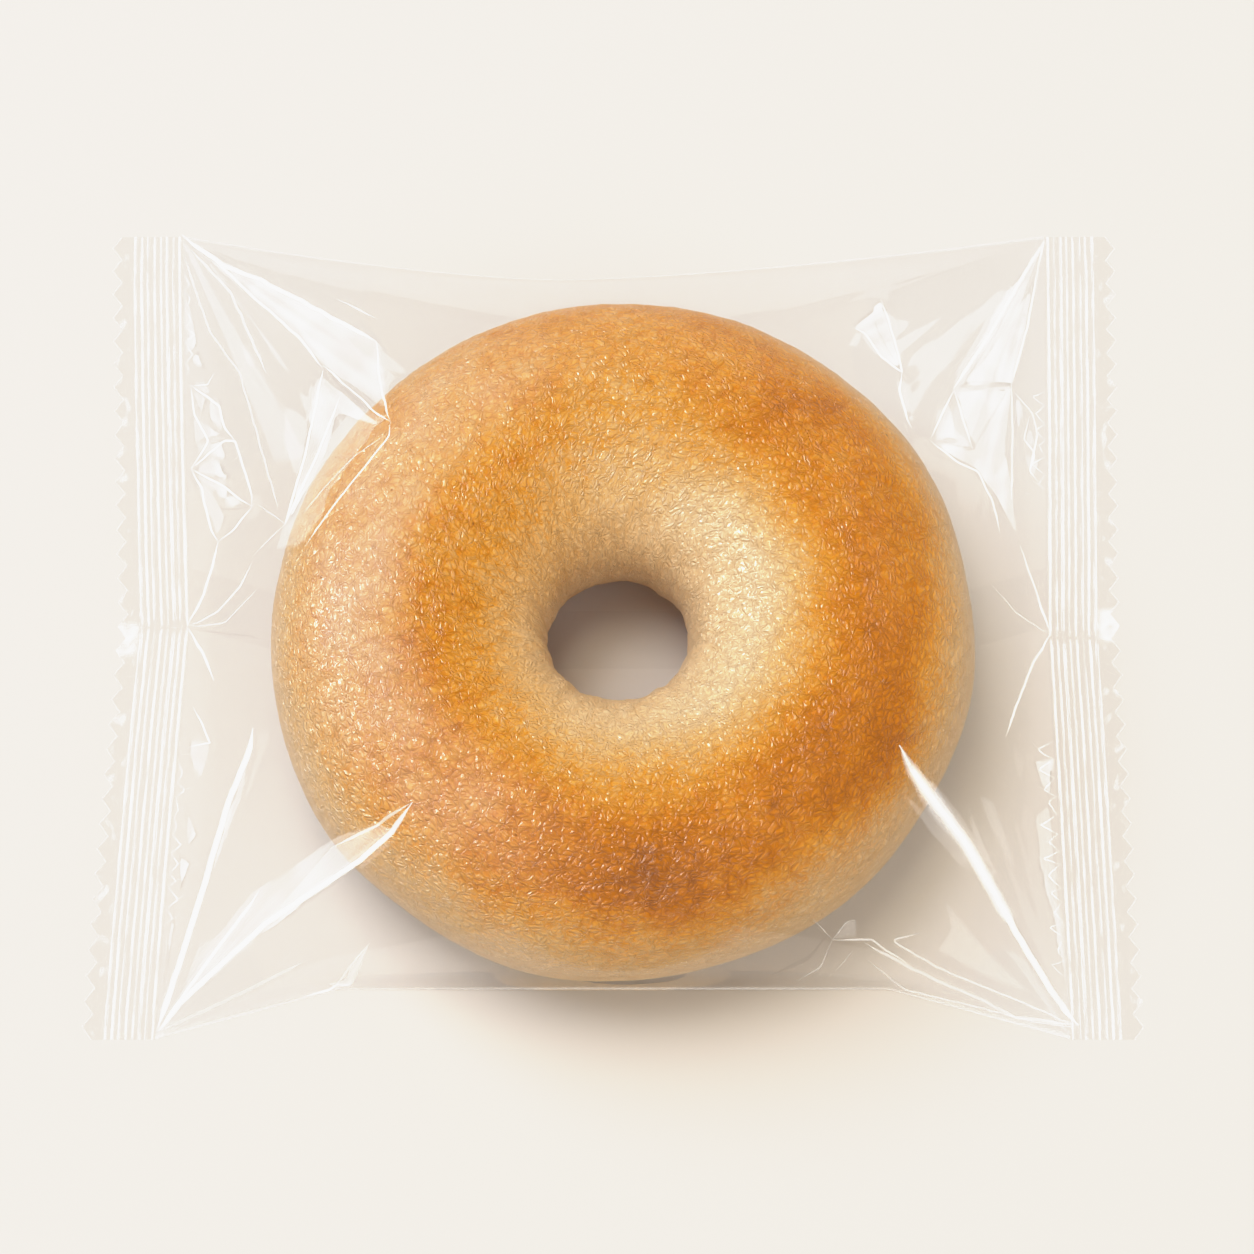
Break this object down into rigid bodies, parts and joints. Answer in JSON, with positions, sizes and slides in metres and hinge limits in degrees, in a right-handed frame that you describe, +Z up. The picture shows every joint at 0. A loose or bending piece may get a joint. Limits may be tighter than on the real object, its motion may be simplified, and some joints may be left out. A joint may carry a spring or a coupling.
{
  "type": "bagel in a sealed clear bag",
  "caption": "Plain ring bagel sealed flat in a clear pillow pack: taut film over the bagel, sunk into its hole and folded at the corners, with ribbed, serrated crimp seals at both ends.",
  "frame": {"origin": "middle of the pack's outline, on the surface that the pack lies on", "axes": "+X along the pack from the left end seal to the right one, +Y towards the back crease, +Z up through the bagel's hole"},
  "size_m": [0.1472, 0.1218, 0.0384],
  "materials": {
    "clear_film": "clear glossy packing film, almost colourless, with crisp creases; the tint is the golden crust seen through it",
    "bagel_crust": "baked bread crust, satin sheen, finely wrinkled, golden brown on the shoulders and cream round the hole and low on the sides"
  },
  "bodies": {
    "root": {"sealed_bag": "clear_film"}
  },
  "joints": []
}
